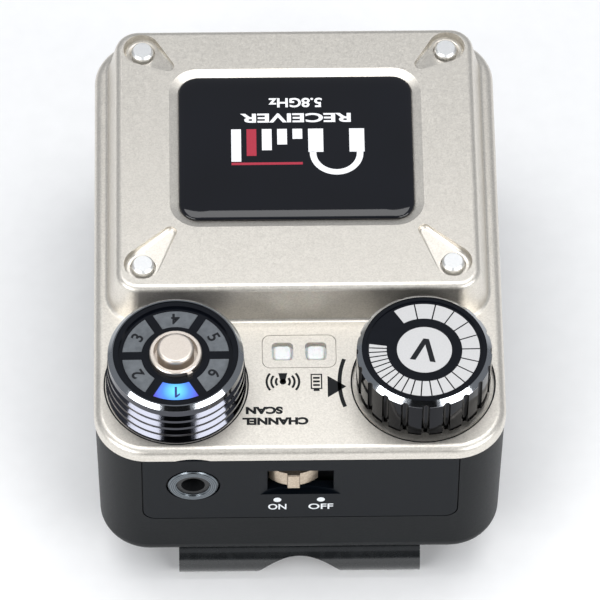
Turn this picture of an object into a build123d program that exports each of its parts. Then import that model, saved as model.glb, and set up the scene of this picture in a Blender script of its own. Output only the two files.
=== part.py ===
from build123d import *
import os
from math import radians, tan

os.makedirs("parts", exist_ok=True)

# Belt-pack wireless receiver. Millimetres and degrees. Z is up, the control end faces -Y,
# the origin is under the middle of the pack, on the plane that the belt clip rests on.

# ---- modelling allowances ---------------------------------------------------------------
beyond = 1.0  # how far a cut runs past the face it opens
overlap = 0.3  # how far a fused piece reaches into its neighbour
touch = 0.01  # tolerance for finding an edge by its place

# ---- case -------------------------------------------------------------------------------
case_width = 62.0
case_length = 77.5
case_depth = 27.0  # black shell, floor to parting line
corner_radius = 8.0
side_draft = 0.8  # the black shell narrows towards its floor
parting_step = 0.15  # the black shell stands in from the silver one
parting_chamfer = 0.3
floor_fillet = 3.2
wall = 2.0
floor_wall = 2.0
cavity_fillet = 1.2
lip_depth = 1.5
lip_wall = 0.9
lip_gap = 0.1

# ---- silver top -------------------------------------------------------------------------
deck_height = 2.2  # deck above the parting line
deck_wall = 1.8
rim_radius = 1.3
plateau_height = 6.6  # above the deck
plateau_margin = 3.45  # case side to the plateau's top edge, left, right and rear
plateau_gap = 0.85  # knob's dish to the plateau's foot
plateau_slope = 1.4  # how far the sides run outwards on the way down
plateau_corner = 3.4
plateau_edge = 1.1
plateau_foot = 0.6
plateau_wall = 1.8

# ---- badge and corner studs -------------------------------------------------------------
badge_side_margin = 9.6  # plateau's top edge to the badge, left and right
badge_front_margin = 12.85
badge_rear_margin = 8.95
badge_corner = 3.0
badge_gap = 0.1
badge_bevel = 1.35  # sloped border round the badge pocket
badge_bevel_depth = 0.5
badge_pocket = 0.95
badge_rise = 0.35  # badge top above the plateau
badge_round = 0.8
stud_inset_x = 4.05
stud_inset_front = 4.8
stud_inset_rear = 3.65
stud_radius = 1.7
stud_gap = 0.28
stud_seat = 2.0
stud_peg_radius = 0.9
stud_peg_length = 1.0
stud_bevel = 0.3
stud_boss_radius = 3.0
stud_boss_floor = 0.5
stud_drop = 0.1  # stud top below the plateau
scoop_radius = 2.8
scoop_tip_radius = 1.0
scoop_depth = 1.35
scoop_tip_depth = 0.65
scoop_tip_reach = 0.7  # towards the badge, from the corner of its bevel
scoop_round = 0.6

# ---- places of the controls -------------------------------------------------------------
turret_edge = 1.8  # case side and front to the turret
dish_edge = 1.7  # case side and front to the knob's dish

# ---- channel turret ---------------------------------------------------------------------
turret_radius = 10.6
turret_taper = 0.4  # the ribs step in by this much on the way up
turret_height = 8.5
turret_rim = 0.8  # top ring's width round the black face
turret_seat = 0.8  # shoulder that stands on the deck
turret_throat_wall = 0.6
turret_shoulder = 2.4
turret_ring_height = 1.9
turret_bevel = 0.6
rib_count = 4
rib_groove = 0.6
rib_bevel = 0.55
groove_land = 0.35  # land between the ribs, as a share of the rib pitch
seat_groove_gap = 0.1
seat_groove_width = 0.25
seat_groove_depth = 0.35
fit_gap = 0.1

face_drop = 0.15
face_thickness = 1.5
face_step = 0.5  # middle of the face sunk inside its outer ring
face_step_radius = 8.6
face_skirt = 0.7
face_gap = 0.05
window_count = 6
window_inner = 5.1
window_rim = 1.35  # bore to the windows' outer edge
window_spoke = 1.3
window_gap = 0.05
window_depth = 0.8
window_drop = 0.08
hub_wall = 0.65
hub_clearance = 1.0  # above the scan switch
channel_board_thickness = 1.0
pin_count = 5
pin_pitch = 1.27
pin_width = 0.5
pin_inset = 1.5  # from the turret's throat
led_radius = 6.6
led_width = 1.6
led_height = 0.8

collar_radius = 3.93
collar_gap = 0.57  # round the button
collar_rise = 0.4
collar_depth = 1.7
collar_tab = 0.5
collar_edge = 0.15
collar_ledge = 0.3  # the face carries the collar on it
collar_tab_width = 0.8
collar_tab_turn = -60
button_radius = 2.76
button_top_radius = 2.3
button_rise = 1.2  # above the collar
button_flange = 0.74
button_flange_height = 0.6
button_travel = 0.4
stem_radius = 1.4
tact_size = 4.5
tact_height = 1.6
plunger_radius = 1.0
plunger_height = 0.7
plunger_gap = 0.05

# ---- volume knob ------------------------------------------------------------------------
knob_radius = 10.15
knob_top = 9.0  # above the deck
knob_clearance = 0.9  # skirt's lower edge above the deck
knob_bevel = 0.8
knob_groove_count = 20
knob_groove_radius = 0.62
knob_groove_depth = 0.5
knob_groove_top = 0.4  # knob top to each groove's rounded end
knob_wall = 1.75
knob_roof = 2.6
disc_thickness = 0.9
disc_drop = 0.15
knob_hub_wall = 1.4
knob_hub_clearance = 0.4  # above the pot's bushing
disc_gap = 0.03
disc_step = 0.2  # middle of the disc sunk inside its rim
disc_rim = 0.6
shaft_roof = 0.4  # above the shaft's end
dish_gap = 0.55  # round the knob
dish_depth = 0.4
pot_shaft_radius = 3.0
pot_shaft_flat = 1.4
shaft_gap = 0.05
bushing_wall = 0.45
bushing_height = 2.4  # above the deck
pot_width = 9.0
pot_length = 9.8
pot_height = 5.0
pot_floor = 1.5
pot_nut_wall = 1.5
pot_nut_height = 1.6
pot_leg = 0.8
pot_leg_pitch = 2.5
pot_leg_sheet = 0.4
pot_leg_inset = 1.0

# ---- indicator bezel --------------------------------------------------------------------
bezel_width = 11.05
bezel_height = 5.85
bezel_corner = 1.2
bezel_thickness = 1.1
bezel_gap = 0.08
bezel_inset = 18.2  # case front to its middle
lens_pitch = 5.05
lens_window = 3.25
lens_window_corner = 0.7
lens_gap = 0.28
lens_drop = 0.3
lens_flange_lip = 0.22
lens_flange_thickness = 0.6
lens_flange_corner = 0.5
lens_room_gap = 0.2
lens_round = 0.45
pipe_radius = 1.1

# ---- front panel, headphone jack, power switch ------------------------------------------
panel_side = 7.15  # case side to the panel
panel_height = 16.35
panel_corner = 2.1
panel_gap = 0.08
panel_step = 1.3
panel_ledge = 1.2
jack_inset = 7.65  # panel edge to the jack's axis
jack_drop = 7.05  # below the parting line
jack_bore = 1.8
jack_depth = 14.0
jack_bushing = 2.45
jack_nut_radius = 3.8
jack_nut_thickness = 0.9
jack_nut_recess = 0.65
jack_nut_bevel = 0.25
jack_nut_gap = 0.3
jack_nut_play = 0.03
jack_nut_mouth_bevel = 0.2
jack_stand = 0.1  # bushing proud of the panel
jack_end_wall = 0.8
jack_body_width = 6.8
jack_body_height = 6.4
jack_relief_width = 5.3
jack_relief_height = 0.5
jack_relief_reach = 1.2
contact_thickness = 0.25
contact_width = 1.2
contact_rise = 1.5  # above the jack's axis
contact_clearance = 0.5  # beside the bore
contact_gap = 0.05
contact_depths = (5.5, 8.5, 11.5)
switch_drop = 6.5
switch_scoop_margin = 1.2  # each side of the slot
switch_scoop_depth = 1.2
switch_scoop_height = 6.6
switch_slot_play = 0.25  # slot beyond the thumb piece at each end of its travel
switch_slot_height = 5.2
slider_width = 7.4
slider_height = 3.1
slider_arc = 5.8
slider_back = 0.55  # slab front behind the panel face
slider_depth = 2.6
nub_width = 1.95
nub_extra = 0.2
nub_round = 0.3
slider_travel = 2.1
switch_body_length = 13.0
switch_body_depth = 3.6
switch_body_wall = 0.4
actuator_width = 3.0
actuator_depth = 2.0
actuator_height = 4.0
neck_width = 1.8
neck_gap = 0.2
neck_reach = 1.0  # into the actuator
slider_clearance = 0.2

# ---- boards and power -------------------------------------------------------------------
board_side = 9.2  # case side to the board's edge
board_front = 3.6  # case front to the board's edge
board_rear = 6.0
board_thickness = 1.2
board_corner = 1.5
board_gap = 0.3
board_screw_inset = 1.9
board_screw_front = 20.0
board_screw_rear = 12.5
board_post_radius = 1.85
board_screw_radius = 0.8
board_screw_head = 1.6
board_screw_head_height = 1.1
board_screw_length = 4.0
board_screw_floor = 1.0  # left under the posts' holes
usb_from_rear = 27.0
usb_width = 8.94
usb_height = 3.2
usb_length = 7.3
usb_wall = 0.3
usb_gap = 0.25
usb_tongue = 0.7
usb_tab_width = 12.0
usb_drop = 0.15  # mouth behind the case's side
usb_back_wall = 0.8
usb_tongue_drop = 0.9
usb_tongue_width = 6.54
shield_size = 17.0
shield_height = 2.6
shield_wall = 0.3
shield_corner = 0.6
shield_at = (-9.0, 16.0)
radio_chip = 6.0
sound_chip = 5.0
sound_chip_at = (9.0, 8.0)
charger_chip = 4.0
charger_at = (10.0, -8.0)
chip_height = 0.95
battery_side = 1.05  # to the posts that hold the board
battery_end = 14.75  # case end to the cell, front and rear
battery_height = 8.0
battery_corner = 2.5
battery_edge = 1.0
battery_pad_thickness = 0.5
battery_pad_inset = 2.0
plug_width = 7.0
plug_depth = 3.2
plug_height = 3.2
plug_from_cell = 4.0
rail_height = 2.4
rail_width = 1.4
lead_radius = 0.5
lead_spacing = 2.0
lead_bend = 0.45  # bend radius, as a share of the shorter run

antenna_length = 14.0
antenna_height = 2.0
antenna_rise = 3.0
antenna_sheet = 0.3
antenna_leg = 1.0
antenna_feed = 4.0
antenna_inset = 1.0

# ---- case screws ------------------------------------------------------------------------
post_inset = 5.9
post_radius = 3.2
post_drop = 7.0  # post top below the parting line
boss_radius = 2.2
case_screw_radius = 1.0
case_screw_head = 1.9
case_screw_head_height = 1.4
case_screw_length = 10.0
case_screw_web = 5.0
case_screw_room = 1.0  # hole beyond the screw's end
screw_play = 0.02
screw_gap = 0.1

# ---- belt clip --------------------------------------------------------------------------
clip_width = 37.0
clip_sheet = 1.0
clip_bend = 3.5  # outer radius of the U bend
clip_setback = 0.6  # case front to the bend
clip_pad = 0.5  # raised pad that the leg is screwed to
clip_pad_inset = 2.5
clip_leg_length = 40.0
clip_split = 0.12
clip_tip_inset = 8.0
clip_tip_width = 30.0
clip_tip_corner = 6.0
clip_taper_start = 26.0
clip_hole = 6.75  # hole punched through the bend before the sheet was formed
clip_hole_lead = 1.07
clip_arch_height = 5.65
ridge_from_tip = 9.5
ridge_height = 3.2
ridge_half_width = 5.0
clip_screw_count = 3
clip_screw_pitch = 14.0
clip_screw_radius = 1.1
clip_screw_head = 2.0
clip_boss_radius = 2.6
clip_boss_roof = 0.6  # left above the clip screws' holes
clip_screw_start = 8.0  # bend to the first screw
clip_screw_play = 0.02
clip_screw_end = 0.8  # rail top to the screws' ends
clip_screw_slot = (1.5, 0.4, 0.5)

# ---- derived places ---------------------------------------------------------------------
front = -case_length / 2
rear = case_length / 2
floor_z = 2 * clip_bend + clip_pad
inner_floor = floor_z + floor_wall
parting = floor_z + case_depth
deck = parting + deck_height
plateau = deck + plateau_height
turret_top_radius = turret_radius - turret_taper
turret_bore = turret_top_radius - turret_rim
turret_spigot = turret_bore - turret_seat
turret_throat = turret_spigot - turret_throat_wall
seat_groove_radius = turret_radius + seat_groove_gap
turret_at = (turret_edge + turret_radius - case_width / 2, front + turret_edge + turret_radius)
dish_radius = knob_radius + dish_gap
disc_radius = knob_radius - knob_bevel
knob_cavity = knob_radius - knob_wall
bushing_radius = pot_shaft_radius + shaft_gap + bushing_wall
hub_radius = pot_shaft_radius + knob_hub_wall
knob_at = (case_width / 2 - dish_edge - dish_radius, front + dish_edge + dish_radius)
window_outer = turret_bore - window_rim
collar_bore = button_radius + collar_gap
lens_size = lens_window - 2 * lens_gap
lens_flange = lens_window + 2 * lens_flange_lip
plateau_top_width = case_width - 2 * plateau_margin
plateau_low_y = front + dish_edge + 2 * dish_radius + plateau_gap + plateau_slope
plateau_high_y = rear - plateau_margin
plateau_middle = (plateau_low_y + plateau_high_y) / 2
badge_width = plateau_top_width - 2 * badge_side_margin
badge_height = plateau_high_y - plateau_low_y - badge_front_margin - badge_rear_margin
badge_middle = plateau_high_y - badge_rear_margin - badge_height / 2
panel_width = case_width - 2 * panel_side
jack_x = jack_inset - panel_width / 2
switch_slot_width = slider_width + slider_travel + 2 * switch_slot_play
jack_z = parting - jack_drop
switch_z = parting - switch_drop
board_top = jack_z - jack_body_height / 2
board_bottom = board_top - board_thickness
board_width = case_width - 2 * board_side
board_screw_x = board_width / 2 - board_screw_inset
battery_width = 2 * (board_screw_x - board_post_radius - battery_side)
battery_length = case_length - 2 * battery_end
panel_inner_y = front + parting_step + wall
bezel_y = front + bezel_inset
usb_y = rear - usb_from_rear
usb_z = board_top + usb_height / 2
face_top = deck + turret_height - face_drop
face_floor = face_top - face_step
channel_board_top = deck + turret_shoulder + channel_board_thickness
tact_top = channel_board_top + tact_height
collar_top = face_top + collar_rise
collar_bottom = collar_top - collar_depth
rail_top = inner_floor + rail_height
battery_bottom = rail_top + battery_pad_thickness
post_top = parting - post_drop
post_x = case_width / 2 - post_inset
post_y = case_length / 2 - post_inset
bend_y = front + clip_setback + clip_bend
leg_top = floor_z - clip_pad
leg_bottom = leg_top - clip_sheet
clip_screw_y = [bend_y + clip_screw_start + i * clip_screw_pitch for i in range(clip_screw_count)]


def face_y(z):
    """Front face of the black shell at height z, with its draft."""
    return front + parting_step + (parting - z) * tan(radians(side_draft))


def side_x(z):
    """Right face of the black shell at height z, with its draft."""
    return case_width / 2 - parting_step - (parting - z) * tan(radians(side_draft))


def rod(radius, low, high, at=(0, 0)):
    """Upright cylinder between two heights."""
    place = Pos(at[0], at[1], low)
    return place * Cylinder(radius, high - low, align=(Align.CENTER, Align.CENTER, Align.MIN))


def tube(outer, inner, low, high, at=(0, 0)):
    """Upright ring between two heights."""
    return rod(outer, low, high, at) - rod(inner, low, high, at)


def block(x0, x1, y0, y1, z0, z1):
    """Box from its lowest to its highest corner."""
    corner = (Align.MIN, Align.MIN, Align.MIN)
    return Pos(x0, y0, z0) * Box(x1 - x0, y1 - y0, z1 - z0, align=corner)


def slab(width, length, radius, low, high, at=(0, 0)):
    """Upright plate with rounded corners."""
    outline = Pos(at[0], at[1], low) * RectangleRounded(width, length, radius)
    return extrude(outline, high - low)


def front_rod(radius, y0, y1, x, z):
    """Cylinder along Y."""
    place = Pos(x, (y0 + y1) / 2, z) * Rot(90, 0, 0)
    return place * Cylinder(radius, y1 - y0)


def ring_of(piece, count, start=0.0):
    """Copies of a piece turned evenly round the Z axis."""
    return [Rot(0, 0, start + i * 360 / count) * piece for i in range(count)]


def joined(pieces):
    """Every piece fused into one."""
    whole = pieces[0]
    for piece in pieces[1:]:
        whole += piece
    return whole


def corners(x, y):
    """The four mirrored places of a point."""
    return [(sx * x, sy * y) for sx in (-1, 1) for sy in (-1, 1)]


def save(name, pieces):
    """One STEP file for one node, of one solid or a group of like ones."""
    solids = pieces if isinstance(pieces, list) else [pieces]
    solids = [s for piece in solids for s in piece.solids()]
    export_step(Compound(children=solids), f"parts/{name}.step")


# ---- black shell ------------------------------------------------------------------------
def shell_block(inset, low, corner):
    """Drafted block of the black shell, inset by a wall."""
    width = case_width - 2 * (parting_step + inset)
    length = case_length - 2 * (parting_step + inset)
    outline = Pos(0, 0, parting) * RectangleRounded(width, length, corner - inset)
    return extrude(outline, -(parting - low), taper=side_draft)


def shell_outside():
    solid = shell_block(0, floor_z, corner_radius)
    solid = fillet(solid.faces().sort_by(Axis.Z)[0].edges(), floor_fillet)
    return chamfer(solid.faces().sort_by(Axis.Z)[-1].edges(), parting_chamfer)


def shell_cavity():
    solid = shell_block(wall, inner_floor, corner_radius)
    return fillet(solid.faces().sort_by(Axis.Z)[0].edges(), cavity_fillet)


def panel_outline(inset, y0, y1):
    """Front panel's shape, rounded at its lower corners and open at the parting line."""
    width = panel_width - 2 * inset
    height = panel_height - inset
    body = Plane.XZ.offset(-y1) * Pos(0, parting - height) * Rectangle(
        width, 2 * height, align=(Align.CENTER, Align.MIN)
    )
    solid = extrude(body, y1 - y0)
    low = solid.edges().filter_by(Axis.Y).group_by(Axis.Z)[0]
    return fillet(low, panel_corner) & block(-width, width, y0, y1, floor_z, parting)


def panel_region(gap):
    """What the panel fills of the front wall; a negative gap widens it for the opening."""
    step = front + panel_step - gap
    outer = panel_outline(gap, front - beyond, step)
    return outer + panel_outline(gap + panel_ledge, front - beyond, front + 2 * wall)


def case_posts():
    """Posts that the case screws pass up through, hollow from below."""
    return joined([rod(post_radius, floor_z + overlap, post_top, at) for at in corners(post_x, post_y)])


def board_places():
    front_y = front + board_screw_front
    rear_y = rear - board_screw_rear
    return [(sx * board_screw_x, y) for sx in (-1, 1) for y in (front_y, rear_y)]


def bottom_shell():
    outside = shell_outside()
    shell = outside - shell_cavity()
    shell += case_posts() & outside
    for at in board_places():
        shell += rod(board_post_radius, inner_floor - overlap, board_bottom, at)
        shell -= rod(board_screw_radius, inner_floor + board_screw_floor, board_bottom, at)
    for x in (-battery_width / 4, battery_width / 4):
        half = battery_length / 2 - battery_corner
        rail = block(x - rail_width / 2, x + rail_width / 2, -half, half, inner_floor - overlap, rail_top)
        shell += rail
    half = clip_width / 2 - clip_pad_inset
    pad_end = bend_y + clip_leg_length - clip_pad_inset
    shell += block(-half, half, bend_y + clip_pad_inset, pad_end, leg_top, floor_z + overlap)
    for y in clip_screw_y:
        shell += rod(clip_boss_radius, inner_floor - overlap, rail_top, (0, y))
        shell -= rod(clip_screw_radius, leg_top - beyond, rail_top - clip_boss_roof, (0, y))
    seat = post_top - case_screw_web
    for at in corners(post_x, post_y):
        shell -= rod(case_screw_head + screw_gap, floor_z - beyond, seat, at)
        shell -= rod(case_screw_radius + screw_gap, seat - beyond, post_top + beyond, at)
    shell -= panel_region(-panel_gap)
    shell -= usb_opening()
    return shell


def usb_opening():
    height = usb_height + 2 * usb_gap
    outline = Plane.YZ * Pos(usb_y, usb_z) * SlotOverall(usb_width + 2 * usb_gap, height)
    return Pos(case_width / 2 - 2 * wall, 0, 0) * extrude(outline, 3 * wall)


def front_panel():
    wall_stock = shell_outside() - shell_cavity()
    panel = wall_stock & panel_region(panel_gap)
    panel -= front_rod(jack_bushing + fit_gap, front - beyond, front + 3 * wall, jack_x, jack_z)
    recess_end = face_y(jack_z) + jack_nut_recess
    panel -= front_rod(jack_nut_radius + jack_nut_gap, front - beyond, recess_end, jack_x, jack_z)
    half = switch_slot_width / 2 + switch_scoop_margin
    radius = (half**2 + switch_scoop_depth**2) / (2 * switch_scoop_depth)
    scoop_y = face_y(switch_z) + switch_scoop_depth - radius
    half_z = switch_scoop_height / 2
    panel -= rod(radius, switch_z - half_z, switch_z + half_z, (0, scoop_y))
    half_x = switch_slot_width / 2
    half_z = switch_slot_height / 2
    slot = block(-half_x, half_x, front - beyond, front + 3 * wall, switch_z - half_z, switch_z + half_z)
    return panel - slot


# ---- silver top -------------------------------------------------------------------------
def plateau_block(inset, low, high):
    """Plateau with its sloped sides between two heights, inset by a wall."""
    sections = []
    for z in (low, high):
        run = plateau_slope * (plateau - z) / plateau_height - inset
        width = plateau_top_width + 2 * run
        length = plateau_high_y - plateau_low_y + 2 * run
        radius = plateau_corner + run
        sections.append(Pos(0, plateau_middle, z) * RectangleRounded(width, length, radius))
    return loft(sections)


def silver_outside():
    rim = slab(case_width, case_length, corner_radius, parting, deck)
    rim = fillet(rim.faces().sort_by(Axis.Z)[-1].edges(), rim_radius)
    block_up = plateau_block(0, deck, plateau)
    block_up = fillet(block_up.faces().sort_by(Axis.Z)[-1].edges(), plateau_edge)
    foot = block_up.faces().sort_by(Axis.Z)[0].edges()
    places = [edge.center() for edge in foot]
    body = rim + block_up
    found = [e for e in body.edges() if any((e.center() - p).length < touch for p in places)]
    return fillet(found, plateau_foot)


def stud_places():
    x = plateau_top_width / 2 - stud_inset_x
    low = plateau_low_y + stud_inset_front
    high = plateau_high_y - stud_inset_rear
    return [(sx * x, y) for sx in (-1, 1) for y in (low, high)]


def scoop(at):
    """Teardrop hollow that runs up from a stud to the badge's corner."""
    bevel = badge_bevel + badge_gap
    half_x = badge_width / 2 + bevel
    half_y = badge_height / 2 + bevel
    side_y = 1 if at[1] > badge_middle else -1
    tip_x = half_x - scoop_tip_reach
    tip = (tip_x * (1 if at[0] > 0 else -1), badge_middle + side_y * half_y)
    along = Vector(tip[0] - at[0], tip[1] - at[1], 0)
    run = along.length
    rise = scoop_depth - scoop_tip_depth
    direction = Vector(along.X, along.Y, rise)
    level = Vector(-along.Y, along.X, 0)
    up = direction.cross(level)
    floor = Plane(origin=(at[0], at[1], plateau - scoop_depth), x_dir=direction, z_dir=up)
    big = floor * Circle(scoop_radius)
    small = floor * Pos(run - scoop_tip_radius, 0) * Circle(scoop_tip_radius)
    outline = make_hull(big.edges() + small.edges())
    solid = extrude(outline, 3 * scoop_depth)
    low = [e for e in solid.edges() if abs(floor.to_local_coords(e.center()).Z) < touch]
    return fillet(low, scoop_round)


def badge_pocket_cut():
    bottom = plateau - badge_pocket
    width = badge_width + 2 * badge_gap
    length = badge_height + 2 * badge_gap
    corner = badge_corner + badge_gap
    at = (0, badge_middle)
    pocket = slab(width, length, corner, bottom, plateau + beyond, at)
    low = Pos(0, badge_middle, plateau - badge_bevel_depth) * RectangleRounded(width, length, corner)
    grow = 2 * badge_bevel
    border = RectangleRounded(width + grow, length + grow, corner + badge_bevel)
    high = Pos(0, badge_middle, plateau) * border
    top = Pos(0, badge_middle, plateau + beyond) * border
    return pocket + loft([low, high]) + loft([high, top])


def top_shell():
    inner_deck = deck - deck_wall
    corner = corner_radius - wall - parting_step
    hollow = slab(case_width - 2 * (wall + parting_step), case_length - 2 * (wall + parting_step),
                  corner, parting - beyond, inner_deck)
    hollow += plateau_block(plateau_wall, inner_deck - overlap, plateau - plateau_wall)
    shell = silver_outside() - hollow
    inset = parting_step + wall + lip_gap
    lip_outer = slab(case_width - 2 * inset, case_length - 2 * inset, corner_radius - inset,
                     parting - lip_depth, inner_deck)
    inset += lip_wall
    lip_inner = slab(case_width - 2 * inset, case_length - 2 * inset, corner_radius - inset,
                     parting - lip_depth, inner_deck)
    shell += lip_outer - lip_inner
    for at in corners(post_x, post_y):
        shell += rod(boss_radius, post_top, inner_deck + overlap, at)
        hole_top = post_top + case_screw_length - case_screw_web + case_screw_room
        shell -= rod(case_screw_radius, post_top - beyond, hole_top, at)
    for at in stud_places():
        seat = plateau - stud_seat
        foot = seat - stud_peg_length - stud_boss_floor
        shell += rod(stud_boss_radius, foot, plateau - plateau_wall + overlap, at)
        shell -= scoop(at)
        shell -= rod(stud_radius + stud_gap, seat, plateau + beyond, at)
        shell -= rod(stud_peg_radius, seat - stud_peg_length, seat + beyond, at)
    shell -= badge_pocket_cut()
    shell -= rod(turret_spigot + fit_gap, inner_deck - beyond, deck + beyond, turret_at)
    groove = tube(seat_groove_radius + seat_groove_width, seat_groove_radius,
                  deck - seat_groove_depth, deck + beyond, turret_at)
    shell -= groove
    shell -= rod(dish_radius, deck - dish_depth, deck + beyond, knob_at)
    shell -= tube(dish_radius + seat_groove_width, dish_radius - overlap,
                  deck - dish_depth - seat_groove_depth, deck + beyond, knob_at)
    shell -= rod(bushing_radius + fit_gap, inner_deck - beyond, deck + beyond, knob_at)
    shell -= slab(bezel_width + 2 * bezel_gap, bezel_height + 2 * bezel_gap, bezel_corner + bezel_gap,
                  deck - bezel_thickness, deck + beyond, (0, bezel_y))
    lens_room = lens_flange + 2 * lens_room_gap
    shell -= slab(lens_pitch + lens_room, lens_room, lens_window_corner,
                  inner_deck - beyond, deck, (0, bezel_y))
    reach = jack_relief_width / 2
    radius = (reach**2 + jack_relief_height**2) / (2 * jack_relief_height)
    relief_z = parting + jack_relief_height - radius
    return shell - front_rod(radius, front - beyond, front + jack_relief_reach, jack_x, relief_z)


# ---- trim on the plateau ----------------------------------------------------------------
def badge_plate():
    plate = slab(badge_width, badge_height, badge_corner, plateau - badge_pocket,
                 plateau + badge_rise, (0, badge_middle))
    return fillet(plate.faces().sort_by(Axis.Z)[-1].edges(), badge_round)


def corner_studs():
    studs = []
    for at in stud_places():
        seat = plateau - stud_seat
        head = rod(stud_radius, seat, plateau - stud_drop, at)
        head = chamfer(head.faces().sort_by(Axis.Z)[-1].edges(), stud_bevel)
        studs.append(head + rod(stud_peg_radius, seat - stud_peg_length, seat + overlap, at))
    return studs


# ---- indicators -------------------------------------------------------------------------
def lens_places():
    return [(-lens_pitch / 2, bezel_y), (lens_pitch / 2, bezel_y)]


def indicator_bezel():
    bezel = slab(bezel_width, bezel_height, bezel_corner, deck - bezel_thickness, deck, (0, bezel_y))
    for at in lens_places():
        low = deck - 2 * bezel_thickness
        bezel -= slab(lens_window, lens_window, lens_window_corner, low, deck + beyond, at)
    return bezel


def light_pipe(at):
    """Milky lens, its flange under the bezel, and a round pipe down to the lamp."""
    under = deck - bezel_thickness
    low = under - lens_flange_thickness
    lens = slab(lens_size, lens_size, lens_window_corner, low, deck - lens_drop, at)
    lens = fillet(lens.faces().sort_by(Axis.Z)[-1].edges(), lens_round)
    lens += slab(lens_flange, lens_flange, lens_flange_corner, low, under, at)
    return lens + rod(pipe_radius, board_top + led_height, low + overlap, at)


def status_lamps():
    half = led_width / 2
    return [
        block(x - half, x + half, y - half, y + half, board_top, board_top + led_height)
        for x, y in lens_places()
    ]


# ---- channel turret ---------------------------------------------------------------------
def channel_turret():
    top = deck + turret_height
    ring_bottom = top - turret_ring_height
    barrel = rod(turret_top_radius, ring_bottom, top, turret_at)
    barrel = chamfer(barrel.faces().sort_by(Axis.Z)[-1].edges(), turret_bevel)
    pitch = (ring_bottom - deck) / rib_count
    for i in range(rib_count):
        low = deck + i * pitch
        share = i / rib_count
        radius = turret_radius + (turret_top_radius - turret_radius) * share
        rib = rod(radius, low, low + pitch * (1 - groove_land), turret_at)
        rib = chamfer(rib.faces().sort_by(Axis.Z)[-1].edges(), rib_bevel)
        core = rod(radius - rib_groove, low, low + pitch, turret_at)
        barrel += rib + core
    barrel += rod(turret_spigot, deck - deck_wall, deck + overlap, turret_at)
    barrel -= rod(turret_bore, deck + turret_shoulder, top + beyond, turret_at)
    return barrel - rod(turret_throat, deck - deck_wall - beyond, top, turret_at)


def window_shape(shrink, low, high):
    """One numbered window as a solid about the Z axis, its middle on -Y."""
    half = window_spoke / 2 + shrink
    sector = tube(window_outer - shrink, window_inner + shrink, low, high)
    reach = 2 * window_outer
    edge = 180 / window_count
    keep = block(-reach, reach, -reach, 0, low, high)
    for side in (-1, 1):
        cut = block(-half, reach, -reach, reach, low, high)
        if side < 0:
            cut = block(-reach, half, -reach, reach, low, high)
        keep -= Rot(0, 0, side * edge) * cut
    return sector & keep


def window_solids(shrink, low, high):
    return ring_of(window_shape(shrink, low, high), window_count)


def turret_face():
    under = face_top - face_thickness
    rim = turret_bore - face_gap
    hub = collar_radius + hub_wall
    disc = rod(rim, under, face_top)
    disc += tube(rim, rim - face_skirt, channel_board_top, face_top)
    disc -= rod(face_step_radius, face_floor, face_top + beyond)
    disc += rod(hub, tact_top + hub_clearance, face_floor)
    disc -= rod(collar_radius + window_gap, collar_bottom, face_top + beyond)
    disc -= rod(collar_radius - collar_ledge, channel_board_top, face_top + beyond)
    for window in window_solids(0, under - beyond, face_top + beyond):
        disc -= window
    half = window_spoke / 2
    baffle = block(-half, half, -window_outer - overlap, -hub + overlap, tact_top, under + overlap)
    for wall_between in ring_of(baffle, window_count, 180 / window_count):
        disc += wall_between
    return Pos(turret_at[0], turret_at[1], 0) * disc


def channel_windows():
    """Numbered clockwise, seen from above, from the one that faces the control end."""
    low = face_floor - window_depth
    place = Pos(turret_at[0], turret_at[1], 0)
    ring = window_solids(window_gap, low, face_floor - window_drop)
    return [place * window for window in ring[:1] + ring[:0:-1]]


def channel_board():
    low = deck + turret_shoulder
    return rod(turret_bore - fit_gap, low, channel_board_top, turret_at)


def channel_lamps():
    half = led_width / 2
    lamp = block(-half, half, -led_radius - half, -led_radius + half,
                 channel_board_top, channel_board_top + led_height)
    place = Pos(turret_at[0], turret_at[1], 0)
    return [place * copy for copy in ring_of(lamp, window_count)]


def channel_pins():
    """Header pins that carry the channel board's lines down to the main board."""
    pins = []
    half = pin_width / 2
    x = turret_at[0] + turret_throat - pin_inset
    for i in range(pin_count):
        y = turret_at[1] + (i - (pin_count - 1) / 2) * pin_pitch
        pins.append(block(x - half, x + half, y - half, y + half, board_top, deck + turret_shoulder))
    return pins


def scan_switch():
    half = tact_size / 2
    x, y = turret_at
    body = block(x - half, x + half, y - half, y + half, channel_board_top, tact_top)
    well = plunger_radius + plunger_gap
    return body - rod(well, tact_top - plunger_height, tact_top + beyond, turret_at)


def scan_plunger():
    low = tact_top - plunger_height + button_travel + fit_gap
    return rod(plunger_radius, low, tact_top + plunger_height, turret_at)


def button_collar():
    ring = rod(collar_radius, collar_bottom, collar_top)
    ring = chamfer(ring.faces().sort_by(Axis.Z)[-1].edges(), collar_edge)
    half = collar_tab_width / 2
    tab = block(collar_radius - overlap, collar_radius + collar_tab, -half, half,
                face_floor, collar_top - collar_edge)
    ring += Rot(0, 0, collar_tab_turn) * tab
    ring -= rod(collar_bore, collar_bottom - beyond, collar_top + beyond)
    return Pos(turret_at[0], turret_at[1], 0) * ring


def scan_button():
    top = collar_top + button_rise
    cap = rod(button_radius, collar_bottom - overlap, top)
    taper = button_radius - button_top_radius
    edge = cap.faces().sort_by(Axis.Z)[-1].edges()
    cap = fillet(edge, taper)
    flange_top = collar_bottom - plunger_gap
    cap += rod(button_radius + button_flange, flange_top - button_flange_height, flange_top)
    cap += rod(stem_radius, tact_top + plunger_height, flange_top)
    return Pos(turret_at[0], turret_at[1], 0) * cap


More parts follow.
